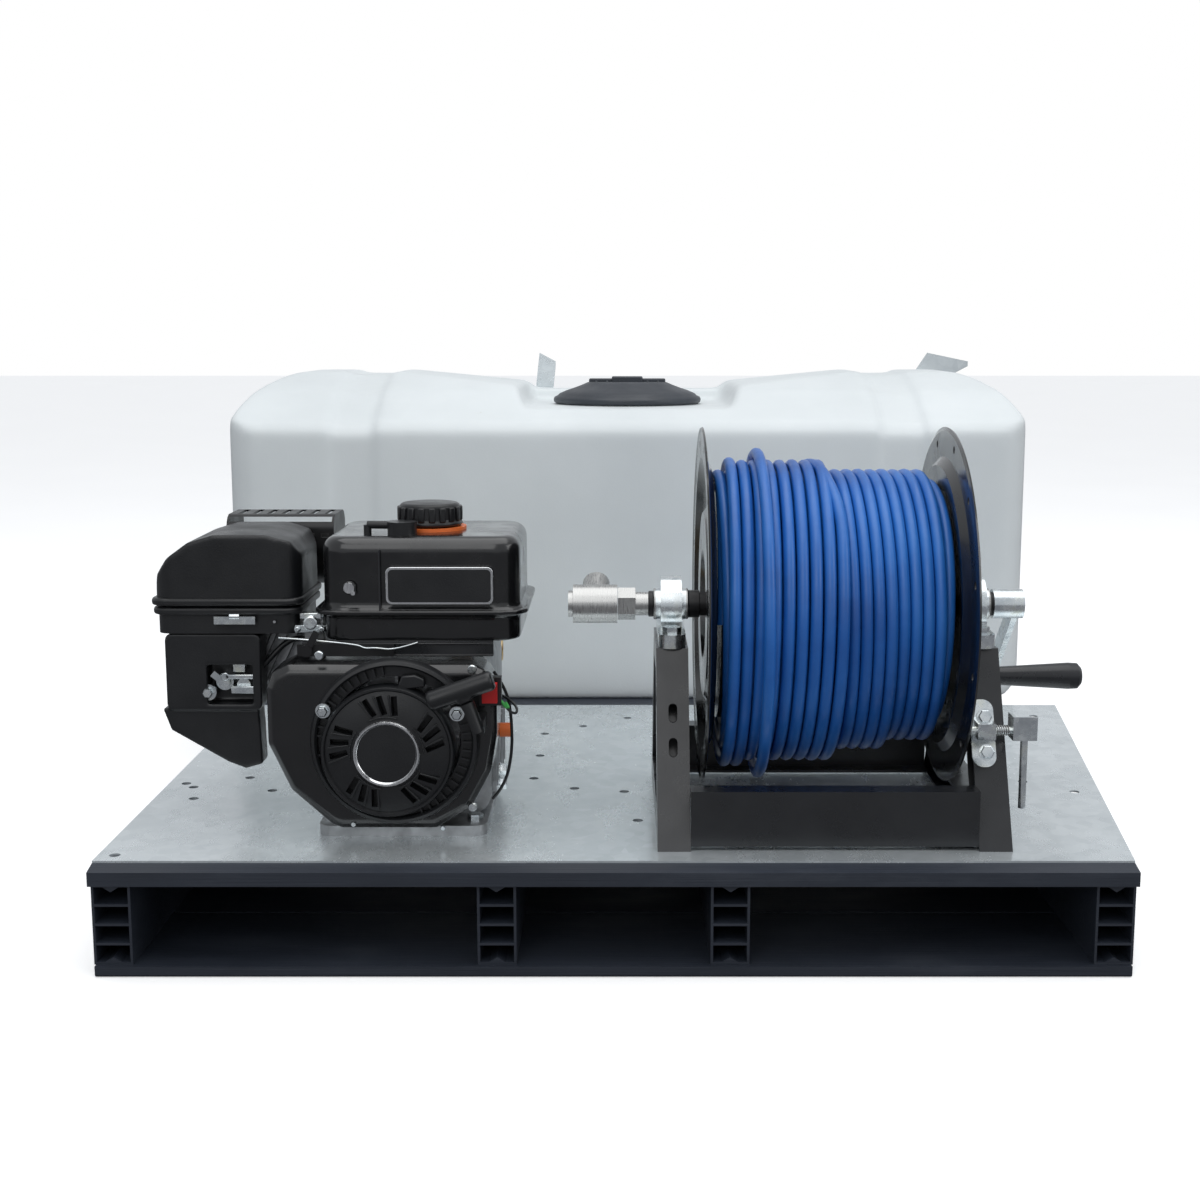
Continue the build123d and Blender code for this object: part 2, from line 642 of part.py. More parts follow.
def recoil_badge():
    disc = rod_y(RECOIL_FRONT_Y - 4, RECOIL_FRONT_Y, CRANK_AXIS_X - 6, CRANK_AXIS_Z - 8, 29)
    return disc - rod_y(RECOIL_FRONT_Y - 5, RECOIL_FRONT_Y - 2.5, CRANK_AXIS_X - 6, CRANK_AXIS_Z - 8, 26)


def along_pull(distance):
    return tuple(c + p * distance for c, p in zip(GRIP_CENTRE, PULL))


def rope_guide():
    foot = along_pull(-44)
    guide = rod_between(foot, along_pull(-13), 9)
    guide += slab(foot[0] - 12, foot[0] + 8, foot[1], SHROUD_FRONT_Y, foot[2] - 2, foot[2] + 12)
    guide -= rod_between(along_pull(-60), along_pull(0), 2.6)
    guide -= rod_y(-600, -500, CRANK_AXIS_X, CRANK_AXIS_Z, 82.3)
    return guide


def starter_grip():
    across = Vector(PULL[2], 0, -PULL[0])
    centre = Vector(*GRIP_CENTRE)
    start = centre - across * 34
    end = centre + across * 34
    bar = rod_between(tuple(start), tuple(end), 10)
    bar = fillet(bar.edges(), 4)
    neck = rod_between(along_pull(-12), along_pull(0), 8)
    rope = rod_between(along_pull(-42), along_pull(0), 2)
    return bar + neck + rope


def flywheel():
    x, z = CRANK_AXIS_X, CRANK_AXIS_Z
    wheel = rod_y(-500, -478, x, z, 62)
    for step in range(12):
        blade = Rot(0, 30 * step, 0) * (Pos(52, 0, 0) * Box(20, 18, 3))
        wheel += Pos(x, -508, z) * blade
    wheel += rod_y(-528, -500, x, z, 16)
    wheel += rod_y(-528, -240, x, z, CRANKSHAFT_R)
    return wheel


def fuel_shape(inset, top):
    x0, x1 = FUEL_X[0] + inset, FUEL_X[1] - inset
    y0, y1 = FUEL_Y[0] + inset, FUEL_Y[1] - inset
    upper = slab(x0, x1, y0, y1, FUEL_BOTTOM_Z + inset, top - inset)
    upper = round_edges(upper, Axis.Z, 26 - inset)
    return upper


def fuel_tank():
    tank = fuel_shape(0, FUEL_TOP_Z)
    tank = fillet(tank.edges().group_by(Axis.Z)[-1], 14)
    flange = fuel_shape(-5, FUEL_TOP_Z) & slab(-400, 0, -600, -200, FUEL_SEAM_Z - 3, FUEL_SEAM_Z + 3)
    tank = tank + flange + rod_z(FUEL_TOP_Z - 3, FUEL_TOP_Z + 12, FILLER[0], FILLER[1], 27)
    tank -= fuel_shape(FUEL_WALL, FUEL_TOP_Z)
    tank -= rod_z(FUEL_TOP_Z - 30, FUEL_TOP_Z + 20, FILLER[0], FILLER[1], FILLER_BORE_R)
    return tank


def filler_ring():
    z = FUEL_TOP_Z
    return rod_z(z, z + 3, *FILLER, 38) - rod_z(z - 1, z + 4, *FILLER, 27.3)


def fuel_cap():
    z = FUEL_TOP_Z + 4
    cap = rod_z(z, z + 24, *FILLER, 33)
    cap = fillet(cap.edges().group_by(Axis.Z)[-1], 4)
    for step in range(10):
        angle = math.radians(36 * step)
        cap += rod_z(z, z + 21, FILLER[0] + 31 * math.cos(angle), FILLER[1] + 31 * math.sin(angle), 5)
    return cap - rod_z(z - 1, z + 9, *FILLER, 27.6)


def tank_vent():
    x, y, z = VENT
    disc = rod_z(z, z + 13, x, y, 15)
    stem = rod_between((x, y, z + 9), (x - 36, y + 4, z + 9), 4)
    return disc + stem + rod_z(z, z + 9, x - 36, y + 4, 4)


def muffler():
    body = slab(-420, -314, -326, -236, 342, 404)
    body = round_edges(body, Axis.X, 24)
    pipe = rod_y(-236, -214, -330, 372, 12) - rod_y(-232, -200, -330, 372, 10)
    return body + pipe


def muffler_shield():
    shield = slab(-426, -308, -337, -262, 372, 422)
    shield = round_edges(shield, Axis.X, 16)
    shield -= slab(-423.5, -310.5, -334.5, -255, 360, 419.5)
    shield -= slab(-440, -300, -345, -230, 360, 380)
    for step in range(7):
        x = -414 + step * 16
        shield -= Pos(x, -336, 400) * Box(9, 8, 5)
        shield -= Pos(x, -298, 420) * Box(6, 46, 8)
    return shield - muffler()


def air_cleaner_base():
    x0, x1 = CLEANER_X
    y0, y1 = CLEANER_Y
    tray = slab(x0 + 3, x1 - 3, y0 + 4, y1 - 6, 315, CLEANER_SEAM_Z - 0.5)
    tray = round_edges(tray, Axis.Z, 14)
    tray -= slab(x0 + 14, x1 - 14, y0 + 12, y1 - 12, 321, CLEANER_SEAM_Z + 1)
    element = slab(x0 + 26, x1 - 26, y0 + 24, y1 - 24, 320, 380)
    return tray + element


def air_cleaner_cover():
    x0, x1 = CLEANER_X
    y0, y1 = CLEANER_Y
    z0 = CLEANER_SEAM_Z
    points = (
        (x0, z0), (x1, z0), (x1, z0 + 52), (x1 - 9, z0 + 67), (x1 - 34, z0 + 74), (x0 + 64, z0 + 74),
        (x0 + 38, z0 + 66), (x0 + 16, z0 + 50), (x0 + 3, z0 + 32), (x0, z0 + 14),
    )
    cover = outline_y(points, y0, y1)
    plan = round_edges(slab(x0, x1, y0, y1, z0, z0 + 90), Axis.Z, 24)
    cover = cover & plan
    core = slab(x0 + 22, x1 - 22, y0 + 20, y1 - 20, z0 - 1, z0 + 42)
    return cover - core


def air_cleaner_case():
    x0, x1 = CASE_X
    y0, y1 = CASE_Y
    z0, z1 = CASE_Z
    case = round_edges(slab(x0, x1, y0, y1, z0, z1), Axis.Y, 6)
    case -= slab(WINDOW_X[0], WINDOW_X[1], y0 - 1, y0 + WINDOW_DEEP, WINDOW_Z[0], WINDOW_Z[1])
    skirt = (
        (x0 - 6, z0 + 1), (x1 - 4, z0 + 1), (x1 - 2, 176), (x1 - 20, 171), (x0 + 60, 178),
        (x0 + 2, 212),
    )
    outer = outline_y(skirt, y0 + 4, y1)
    hollow = (
        (x0 - 1, z0 - 5), (x1 - 8, z0 - 5), (x1 - 7, 181), (x1 - 21, 176), (x0 + 62, 183),
        (x0 + 6, 214),
    )
    outer -= outline_y(hollow, y0 + 8, y1 + 1)
    return case + outer


def lever(x, y, z, length, tilt):
    arm = Pos(0, 0, length / 2) * Box(7, 3, length)
    hub = Rot(90, 0, 0) * Cylinder(6, 5)
    return Pos(x, y, z) * Rot(0, tilt, 0) * (arm + hub)


def fuel_valve_body():
    y = CASE_Y[0] + WINDOW_DEEP
    body = rod_y(y - 9, y, -404, 262, 9) + rod_y(y - 7, y, -385, 258, 7)
    return body


def carburettor():
    body = slab(-319, -300, -462, -436, 308, 330)
    bowl = rod_z(298, 308, -309, -449, 9)
    horn = rod_y(-470, -436, -309, 320, 8)
    return body + bowl + horn


def control_plate():
    plate = slab(-320, -222, -500, -497, 297, 309)
    tab = slab(-318, -296.5, -500, -470, 300, 303)
    return plate + tab


def cover_latch():
    front = CLEANER_Y[0]
    bar = slab(-408, -366, front - 4, front - 1, 326, 334)
    return bar + rod_x(-392, -382, front - 2.5, 334, 3)


def switch_box():
    return slab(-133, -111, SHROUD_FRONT_Y - 12, SHROUD_FRONT_Y, 256, 284)


def stop_switch():
    return Pos(-122, SHROUD_FRONT_Y - 17.2, 270) * Rot(8, 0, 0) * Box(15, 6, 20)


def oil_dipstick():
    x = BLOCK_X[1] + 8.4
    cap = rod_x(x, x + 12, DIPSTICK_Y, DIPSTICK_Z, 7.5)
    stick = rod_x(x - 60, x + 1, DIPSTICK_Y, DIPSTICK_Z, 3)
    return cap + stick


# --- pump ---
def pump_adapter():
    y0 = BLOCK_BACK_Y
    ring = rod_y(y0, y0 + 22, CRANK_AXIS_X, CRANK_AXIS_Z, 66)
    return ring - rod_y(y0 - 1, y0 + 30, CRANK_AXIS_X, CRANK_AXIS_Z, CRANKSHAFT_R + 3)


def pump_body():
    y0 = BLOCK_BACK_Y + 22
    x = CRANK_AXIS_X
    z = CRANK_AXIS_Z
    body = round_edges(slab(x - 60, x + 60, y0, y0 + 84, z - 52, z + 56), Axis.Y, 26)
    for step in range(5):
        body += slab(x - 42, x + 42, y0 + 8 + step * 15, y0 + 13 + step * 15, z + 50, z + 64)
    body -= rod_y(y0 - 1, y0 + 45, x, z, CRANKSHAFT_R + 3)
    return body


def pump_manifold():
    y0 = BLOCK_BACK_Y + 106
    x = CRANK_AXIS_X
    z = CRANK_AXIS_Z
    block = slab(x - 62, x + 62, y0, y0 + 42, z - 46, z + 46)
    block = round_edges(block, Axis.Y, 8)
    inlet = rod_x(x - 84, x - 60, y0 + 22, z - 24, 15)
    outlet = rod_x(x + 60, x + 82, y0 + 22, z + 22, 13)
    block = block + inlet + outlet
    block -= rod_x(x - 85, x - 58, y0 + 22, z - 24, 9.5)
    block -= rod_x(x + 58, x + 83, y0 + 22, z + 22, 7.5)
    for dx in (-40, 0, 40):
        for dz in (-24, 24):
            block += hex_y(y0 + 41, y0 + 52, x + dx, z + dz, 24)
    return block


def unloader():
    y = BLOCK_BACK_Y + 128
    x = CRANK_AXIS_X + 34
    z = CRANK_AXIS_Z + 46
    return rod_z(z, z + 44, x, y, 15) + rod_x(x, x + 34, y, z + 20, 10)


def unloader_knob():
    y = BLOCK_BACK_Y + 128
    x = CRANK_AXIS_X + 34
    z = CRANK_AXIS_Z + 90.4
    knob = rod_z(z, z + 24, x, y, 17)
    for step in range(8):
        angle = math.radians(45 * step)
        knob -= rod_z(z - 1, z + 30, x + 18 * math.cos(angle), y + 18 * math.sin(angle), 3)
    return knob


PARTS = {
    "pallet_top_boards": pallet_top_boards(),
    "pallet_bottom_boards": pallet_bottom_boards(),
    "pallet_runners": Compound([pallet_runner(x) for x in RUNNER_X]),
    "deck_sheet": deck_sheet(),
    "water_tank": water_tank(),
    "tank_lid": tank_lid(),
    "tank_outlet": tank_outlet(),
    "rear_stop_left": rear_stop(-118.0, 4.0),
    "rear_stop_right": rear_stop(494.0, 72.0),
    "reel_side_left": reel_side(POST_X[0], 1),
    "reel_side_right": reel_side(POST_X[1], -1),
    "reel_beam_front": reel_beam(REEL_Y - BASE_D / 2 + 4, 1),
    "reel_beam_rear": reel_beam(REEL_Y + BASE_D / 2 - 4, -1),
    "pillow_block_left": pillow_block(POST_X[0]),
    "pillow_block_right": pillow_block(POST_X[1]),
    "pillow_bolts": pillow_bolts(),
    "lock_bracket": lock_bracket(),
    "lock_spring": lock_spring(),
    "lock_pin": lock_pin(),
    "reel_shaft": reel_shaft(),
    "drum_core": drum_core(),
    "reel_flange_left": reel_flange(FLANGE_X[0], -1),
    "reel_flange_right": reel_flange(FLANGE_X[1], 1),
    "hose_winding": hose_winding(),
    "crank_arm": crank_arm(),
    "crank_grip": crank_grip(),
    "swivel_body": swivel_body(),
    "swivel_nut": swivel_nut(),
    "crankcase": crankcase(),
    "foot_bolts": foot_bolts(),
    "cylinder_head": cylinder_head(),
    "spark_plug": spark_plug(),
    "blower_shroud": blower_shroud(),
    "recoil_cover": recoil_cover(),
    "recoil_badge": recoil_badge(),
    "rope_guide": rope_guide(),
    "starter_grip": starter_grip(),
    "flywheel": flywheel(),
    "fuel_tank": fuel_tank(),
    "filler_ring": filler_ring(),
    "fuel_cap": fuel_cap(),
    "tank_vent": tank_vent(),
    "muffler": muffler(),
    "muffler_shield": muffler_shield(),
    "air_cleaner_base": air_cleaner_base(),
    "air_cleaner_cover": air_cleaner_cover(),
    "air_cleaner_case": air_cleaner_case(),
    "choke_lever": lever(-404.0, CASE_Y[0] + 7.0, 262.0, 15.0, -50),
    "fuel_valve_body": fuel_valve_body(),
    "carburettor": carburettor(),
    "control_plate": control_plate(),
    "throttle_lever": lever(-310.0, -503.0, 303.0, 22.0, 30),
    "cover_latch": cover_latch(),
    "switch_box": switch_box(),
    "stop_switch": stop_switch(),
    "oil_dipstick": oil_dipstick(),
    "pump_body": pump_body() + pump_adapter(),
    "pump_manifold": pump_manifold(),
    "unloader": unloader(),
    "unloader_knob": unloader_knob(),
}

os.makedirs("parts", exist_ok=True)
for name, shape in PARTS.items():
    export_step(shape, f"parts/{name}.step")
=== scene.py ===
import json
import math

import bmesh
import bpy
from mathutils import Matrix, Vector


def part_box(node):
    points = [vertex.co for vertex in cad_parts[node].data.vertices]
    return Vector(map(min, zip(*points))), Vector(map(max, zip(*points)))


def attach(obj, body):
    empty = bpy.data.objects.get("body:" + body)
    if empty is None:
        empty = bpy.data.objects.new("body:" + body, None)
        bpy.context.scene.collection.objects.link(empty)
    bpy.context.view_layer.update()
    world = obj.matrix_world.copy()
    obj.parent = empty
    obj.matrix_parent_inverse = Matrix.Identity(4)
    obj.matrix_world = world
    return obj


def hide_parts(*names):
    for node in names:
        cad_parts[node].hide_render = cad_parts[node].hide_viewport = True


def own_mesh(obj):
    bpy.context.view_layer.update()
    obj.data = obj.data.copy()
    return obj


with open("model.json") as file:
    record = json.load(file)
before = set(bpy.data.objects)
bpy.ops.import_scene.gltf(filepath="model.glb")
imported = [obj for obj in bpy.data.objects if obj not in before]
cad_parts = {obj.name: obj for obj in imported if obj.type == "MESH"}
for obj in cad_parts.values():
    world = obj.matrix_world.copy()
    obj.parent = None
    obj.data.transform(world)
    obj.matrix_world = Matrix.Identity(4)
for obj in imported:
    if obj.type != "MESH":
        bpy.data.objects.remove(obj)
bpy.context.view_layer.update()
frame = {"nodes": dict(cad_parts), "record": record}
nodes = frame["nodes"]
scene = bpy.context.scene


# ---------- materials ----------
class Shader:
    # A principled material whose colour, roughness and bump come from procedural nodes.
    def __init__(self, name, metallic=0.0, roughness=0.5):
        self.mat = bpy.data.materials.new(name)
        self.mat.use_nodes = True
        self.tree = self.mat.node_tree
        self.bsdf = self.tree.nodes["Principled BSDF"]
        self.bsdf.inputs["Metallic"].default_value = metallic
        self.bsdf.inputs["Roughness"].default_value = roughness
        self.coords = self.tree.nodes.new("ShaderNodeTexCoord").outputs["Object"]
        self.height = None

    def node(self, kind, **inputs):
        made = self.tree.nodes.new(kind)
        for key, value in inputs.items():
            made.inputs[key].default_value = value
        return made

    def link(self, a, b):
        self.tree.links.new(a, b)

    def stretched(self, scale):
        mapping = self.tree.nodes.new("ShaderNodeMapping")
        mapping.inputs["Scale"].default_value = scale
        self.link(self.coords, mapping.inputs["Vector"])
        return mapping.outputs["Vector"]

    def noise(self, scale, detail=4.0, stretch=None, rough=0.55):
        made = self.node("ShaderNodeTexNoise", Scale=scale, Detail=detail, Roughness=rough)
        self.link(self.stretched(stretch) if stretch else self.coords, made.inputs["Vector"])
        return made.outputs["Fac"]

    def cells(self, scale):
        made = self.node("ShaderNodeTexVoronoi", Scale=scale)
        self.link(self.coords, made.inputs["Vector"])
        return made.outputs["Color"]

    def ramp(self, value, stops):
        made = self.tree.nodes.new("ShaderNodeValToRGB")
        band = made.color_ramp
        band.elements[0].position, band.elements[0].color = stops[0][0], (*stops[0][1], 1)
        band.elements[1].position, band.elements[1].color = stops[-1][0], (*stops[-1][1], 1)
        for position, colour in stops[1:-1]:
            band.elements.new(position).color = (*colour, 1)
        self.link(value, made.inputs["Fac"])
        return made.outputs["Color"]

    def mix(self, value, a, b):
        made = self.tree.nodes.new("ShaderNodeMix")
        made.data_type = "RGBA"
        self.link(value, made.inputs["Factor"])
        self.link(a, made.inputs["A"])
        self.link(b, made.inputs["B"])
        return made.outputs["Result"]

    def colour(self, source):
        self.link(source, self.bsdf.inputs["Base Color"])

    def rough(self, value, low, high):
        # Noise mostly lies between 0.3 and 0.7, so that is the span mapped to low and high.
        made = self.tree.nodes.new("ShaderNodeMapRange")
        made.inputs["From Min"].default_value = 0.3
        made.inputs["From Max"].default_value = 0.7
        made.inputs["To Min"].default_value = low
        made.inputs["To Max"].default_value = high
        self.link(value, made.inputs["Value"])
        self.link(made.outputs["Result"], self.bsdf.inputs["Roughness"])

    def bump(self, value, distance, strength=1.0):
        made = self.tree.nodes.new("ShaderNodeBump")
        made.inputs["Distance"].default_value = distance
        made.inputs["Strength"].default_value = strength
        self.link(value, made.inputs["Height"])
        if self.height:
            self.link(self.height, made.inputs["Normal"])
        self.height = made.outputs["Normal"]
        self.link(self.height, self.bsdf.inputs["Normal"])

    def set(self, **values):
        for key, value in values.items():
            self.bsdf.inputs[key.replace("_", " ")].default_value = value


def tone(colour, factor):
    return tuple(min(1.0, channel * factor) for channel in colour)


def plain(name, colour, roughness, metallic=0.0, grain=900.0, depth=0.00006, spread=0.18, coat=0.0):
    # Moulded or painted surface: slow colour drift, wear in the gloss and a fine grain.
    s = Shader(name, metallic, roughness)
    drift = s.noise(9.0, 6.0)
    s.colour(s.ramp(drift, [(0.3, tone(colour, 1 - spread)), (0.7, tone(colour, 1 + spread))]))
    s.rough(s.noise(26.0, 8.0), max(0.03, roughness - 0.08), min(1.0, roughness + 0.12))
    s.bump(s.noise(grain, 2.0), depth)
    if coat:
        s.set(Coat_Weight=coat, Coat_Roughness=0.12)
    return s.mat


def pallet_material():
    s = Shader("pallet_plastic", 0.0, 0.5)
    dust = s.noise(5.0, 9.0, (1.0, 3.0, 3.0), 0.65)
    shades = [(0.25, (0.015, 0.019, 0.028)), (0.55, (0.022, 0.028, 0.041)), (0.8, (0.045, 0.053, 0.068))]
    s.colour(s.ramp(dust, shades))
    s.rough(dust, 0.42, 0.66)
    s.bump(s.noise(60.0, 2.0, (0.15, 9.0, 9.0)), 0.0005, 0.7)
    s.bump(s.noise(700.0, 2.0), 0.00008)
    return s.mat


def galvanised_material():
    s = Shader("galvanised", 0.62, 0.22)
    spangle = s.cells(70.0)
    fine = s.noise(14.0, 8.0, None, 0.7)
    base = s.ramp(fine, [(0.25, (0.56, 0.61, 0.63)), (0.5, (0.70, 0.75, 0.77)), (0.78, (0.82, 0.86, 0.87))])
    flake = s.ramp(spangle, [(0.2, (0.64, 0.69, 0.71)), (0.8, (0.78, 0.83, 0.85))])
    s.colour(s.mix(s.noise(3.0, 3.0), base, flake))
    s.rough(s.noise(22.0, 10.0, (1.0, 0.35, 1.0), 0.75), 0.12, 0.36)
    s.bump(s.noise(4.5, 2.0), 0.003, 0.3)
    s.bump(s.noise(160.0, 3.0), 0.00005)
    return s.mat


def tank_material():
    s = Shader("tank_plastic", 0.0, 0.42)
    cloud = s.noise(4.0, 5.0)
    clean = s.ramp(cloud, [(0.3, (0.66, 0.70, 0.71)), (0.7, (0.74, 0.78, 0.79))])
    scuffed = s.ramp(cloud, [(0.3, (0.46, 0.43, 0.39)), (0.7, (0.60, 0.58, 0.54))])
    scuffs = s.noise(17.0, 12.0, (1.0, 1.0, 1.0), 0.8)
    s.colour(s.mix(s.ramp(scuffs, [(0.68, (0, 0, 0)), (0.76, (1, 1, 1))]), clean, scuffed))
    s.rough(s.noise(30.0, 6.0), 0.34, 0.52)
    s.bump(s.noise(7.0, 2.0), 0.0022, 0.3)
    s.bump(s.noise(420.0, 2.0), 0.00012)
    s.set(Subsurface_Weight=0.12, Subsurface_Scale=0.01, Subsurface_Radius=(1.0, 1.0, 1.0))
    return s.mat


def zinc_material():
    s = Shader("zinc", 1.0, 0.25)
    drift = s.noise(60.0, 6.0)
    shades = [(0.3, (0.58, 0.63, 0.66)), (0.55, (0.75, 0.79, 0.80)), (0.75, (0.72, 0.74, 0.66))]
    s.colour(s.ramp(drift, shades))
    s.rough(s.noise(120.0, 8.0), 0.14, 0.36)
    s.bump(s.noise(500.0, 3.0), 0.00005)
    return s.mat


def brushed(name, colour, roughness=0.28):
    s = Shader(name, 1.0, roughness)
    lines = s.noise(220.0, 4.0, (6.0, 0.4, 0.4))
    s.colour(s.ramp(lines, [(0.3, tone(colour, 0.82)), (0.7, tone(colour, 1.12))]))
    s.rough(lines, roughness - 0.08, roughness + 0.14)
    s.bump(lines, 0.00005)
    return s.mat


def cast(name, colour, roughness=0.45, metallic=0.9):
    s = Shader(name, metallic, roughness)
    s.colour(s.ramp(s.noise(40.0, 6.0), [(0.3, tone(colour, 0.75)), (0.7, tone(colour, 1.2))]))
    s.rough(s.noise(90.0, 6.0), roughness - 0.1, roughness + 0.15)
    s.bump(s.noise(380.0, 4.0), 0.00025)
    return s.mat


def hose_material():
    s = Shader("hose_jacket", 0.0, 0.36)
    drift = s.noise(8.0, 6.0)
    shades = [(0.28, (0.010, 0.085, 0.34)), (0.5, (0.015, 0.130, 0.47)), (0.75, (0.028, 0.180, 0.57))]
    s.colour(s.ramp(drift, shades))
    s.rough(s.noise(50.0, 8.0), 0.28, 0.46)
    s.bump(s.noise(260.0, 3.0), 0.00010)
    return s.mat


BLACK = (0.0055, 0.0058, 0.0065)
materials = {
    "pallet_plastic": pallet_material(),
    "galvanised": galvanised_material(),
    "tank_plastic": tank_material(),
    "lid_plastic": plain("lid_plastic", (0.030, 0.036, 0.046), 0.42, depth=0.00012),
    "frame_paint": plain("frame_paint", (0.013, 0.014, 0.016), 0.30, grain=500.0, depth=0.00010, coat=0.25),
    "flange_paint": plain("flange_paint", (0.0065, 0.0070, 0.0080), 0.20, depth=0.00004, coat=0.5),
    "zinc": zinc_material(),
    "steel": brushed("steel", (0.48, 0.48, 0.47)),
    "black_oxide": plain("black_oxide", (0.016, 0.016, 0.017), 0.36, metallic=0.4, coat=0.1),
    "hose_jacket": hose_material(),
    "grip_plastic": plain("grip_plastic", (0.014, 0.015, 0.018), 0.28),
    "engine_paint": plain("engine_paint", BLACK, 0.20, depth=0.00005, coat=0.45),
    "engine_plastic": plain("engine_plastic", (0.0085, 0.0092, 0.0105), 0.34, grain=650.0, depth=0.00012),
    "cast_alloy": cast("cast_alloy", (0.42, 0.43, 0.44)),
    "chrome": brushed("chrome", (0.75, 0.76, 0.77), 0.14),
    "orange_rubber": plain("orange_rubber", (0.80, 0.17, 0.035), 0.42),
    "red_plastic": plain("red_plastic", (0.52, 0.012, 0.012), 0.30),
    "brass": cast("brass", (0.60, 0.42, 0.18), 0.32, 1.0),
    "green_wire": plain("green_wire", (0.05, 0.36, 0.07), 0.40),
}

for entry in frame["record"]["subparts"]:
    target = nodes[entry["node"]]
    target.data.materials.clear()
    target.data.materials.append(materials[entry["material_slot"]])


# ---------- mesh helpers (millimetres in, metres out) ----------
MM = 0.001
SHARP_ANGLE = 35.0


def box_mm(node):
    # The low corner, high corner and middle of a CAD node's box.
    low, high = ([value / MM for value in corner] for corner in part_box(node))
    return low, high, [(a + b) / 2 for a, b in zip(low, high)]


def finish_piece(obj, slot, body="frame"):
    obj.data.materials.clear()
    obj.data.materials.append(materials[slot])
    for polygon in obj.data.polygons:
        polygon.use_smooth = True
    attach(obj, body)
    return obj


def link_mesh(name, bm):
    mesh = bpy.data.meshes.new(name)
    bmesh.ops.recalc_face_normals(bm, faces=bm.faces)
    bm.to_mesh(mesh)
    bm.free()
    obj = bpy.data.objects.new(name, mesh)
    scene.collection.objects.link(obj)
    return obj


def bevelled(obj, width, segments=3):
    bevel = obj.modifiers.new("edge", "BEVEL")
    bevel.width = width * MM
    bevel.segments = segments
    bevel.limit_method = "ANGLE"
    bevel.angle_limit = math.radians(SHARP_ANGLE)


def sharp_smooth(obj, degrees=SHARP_ANGLE):
    obj.data.set_sharp_from_angle(angle=math.radians(degrees))
    return obj


def aim(axis):
    # Turns +Z to the axis given.
    return Vector(axis).to_track_quat("Z", "Y").to_matrix().to_4x4()


def lathe(bm, profile, centre, axis, steps=64):
    # profile is (radius, distance along the axis), from one end to the other.
    frame_of = Matrix.Translation(Vector(centre) * MM) @ aim(axis)
    rings = []
    for radius, along in profile:
        if radius == 0:
            rings.append([bm.verts.new(frame_of @ Vector((0, 0, along * MM)))])
            continue
        ring = []
        for step in range(steps):
            turn = 2 * math.pi * step / steps
            point = Vector((radius * math.cos(turn), radius * math.sin(turn), along)) * MM
            ring.append(bm.verts.new(frame_of @ point))
        rings.append(ring)
    for low, high in zip(rings, rings[1:]):
        for step in range(steps):
            after = (step + 1) % steps
            corners = [low[step % len(low)], low[after % len(low)]]
            corners += [high[after % len(high)], high[step % len(high)]]
            unique = list(dict.fromkeys(corners))
            if len(unique) > 2:
                bm.faces.new(unique)


def block(bm, low, high, turn=None):
    centre = (Vector(low) + Vector(high)) / 2 * MM
    size = (Vector(high) - Vector(low)) * MM
    place = Matrix.Translation(centre)
    if turn:
        place = place @ turn
    bmesh.ops.create_cube(bm, size=1.0, matrix=place @ Matrix.Diagonal((*size, 1.0)))


def hex_bolt(bm, centre, axis, across, height, washer):
    # A hexagon head on a round washer of the radius given.
    radius = across / 2 / math.cos(math.radians(30))
    base = 1.2
    top = base + height
    lathe(bm, [(0, 0), (washer, 0), (washer, base), (0, base)], centre, axis, 32)
    head = [(0, base), (radius, base), (radius, base + height * 0.82), (radius * 0.86, top), (0, top)]
    lathe(bm, head, centre, axis, 6)


def prism(bm, outline, start, end):
    # An outline of (x, z) points, from y = start to y = end.
    near = [bm.verts.new(Vector((x, start, z)) * MM) for x, z in outline]
    far = [bm.verts.new(Vector((x, end, z)) * MM) for x, z in outline]
    bm.faces.new(near)
    bm.faces.new(list(reversed(far)))
    for index in range(len(outline)):
        after = (index + 1) % len(outline)
        bm.faces.new((near[index], far[index], far[after], near[after]))


def rounded(low, high, radius, steps=5):
    # Corner points of a rounded rectangle, low and high being two opposite corners.
    points = []
    corners = (
        (high[0] - radius, high[1] - radius, 0), (low[0] + radius, high[1] - radius, 90),
        (low[0] + radius, low[1] + radius, 180), (high[0] - radius, low[1] + radius, 270),
    )
    for x, z, start in corners:
        for step in range(steps + 1):
            turn = math.radians(start + 90 * step / steps)
            points.append((x + radius * math.cos(turn), z + radius * math.sin(turn)))
    return points


def plan_band(bm, low, high, radius, bottom, top):
    # A rounded rectangle in plan, from z = bottom to z = top.
    outline = rounded(low, high, radius)
    under = [bm.verts.new(Vector((x, y, bottom)) * MM) for x, y in outline]
    over = [bm.verts.new(Vector((x, y, top)) * MM) for x, y in outline]
    bm.faces.new(under)
    bm.faces.new(list(reversed(over)))
    for index in range(len(outline)):
        after = (index + 1) % len(outline)
        bm.faces.new((under[index], over[index], over[after], under[after]))


def disc(bm, centre, axis, radius, height, steps=32, crown=0.0):
    profile = [(0, 0), (radius, 0), (radius, height), (radius * 0.8, height + crown), (0, height + crown)]
    lathe(bm, profile, centre, axis, steps)


def piece(name, bm, slot, body="frame", edge=0.0, sharp=SHARP_ANGLE):
    obj = finish_piece(link_mesh(name, bm), slot, body)
    if edge:
        bevelled(obj, edge, 2)
    return sharp_smooth(obj, sharp)


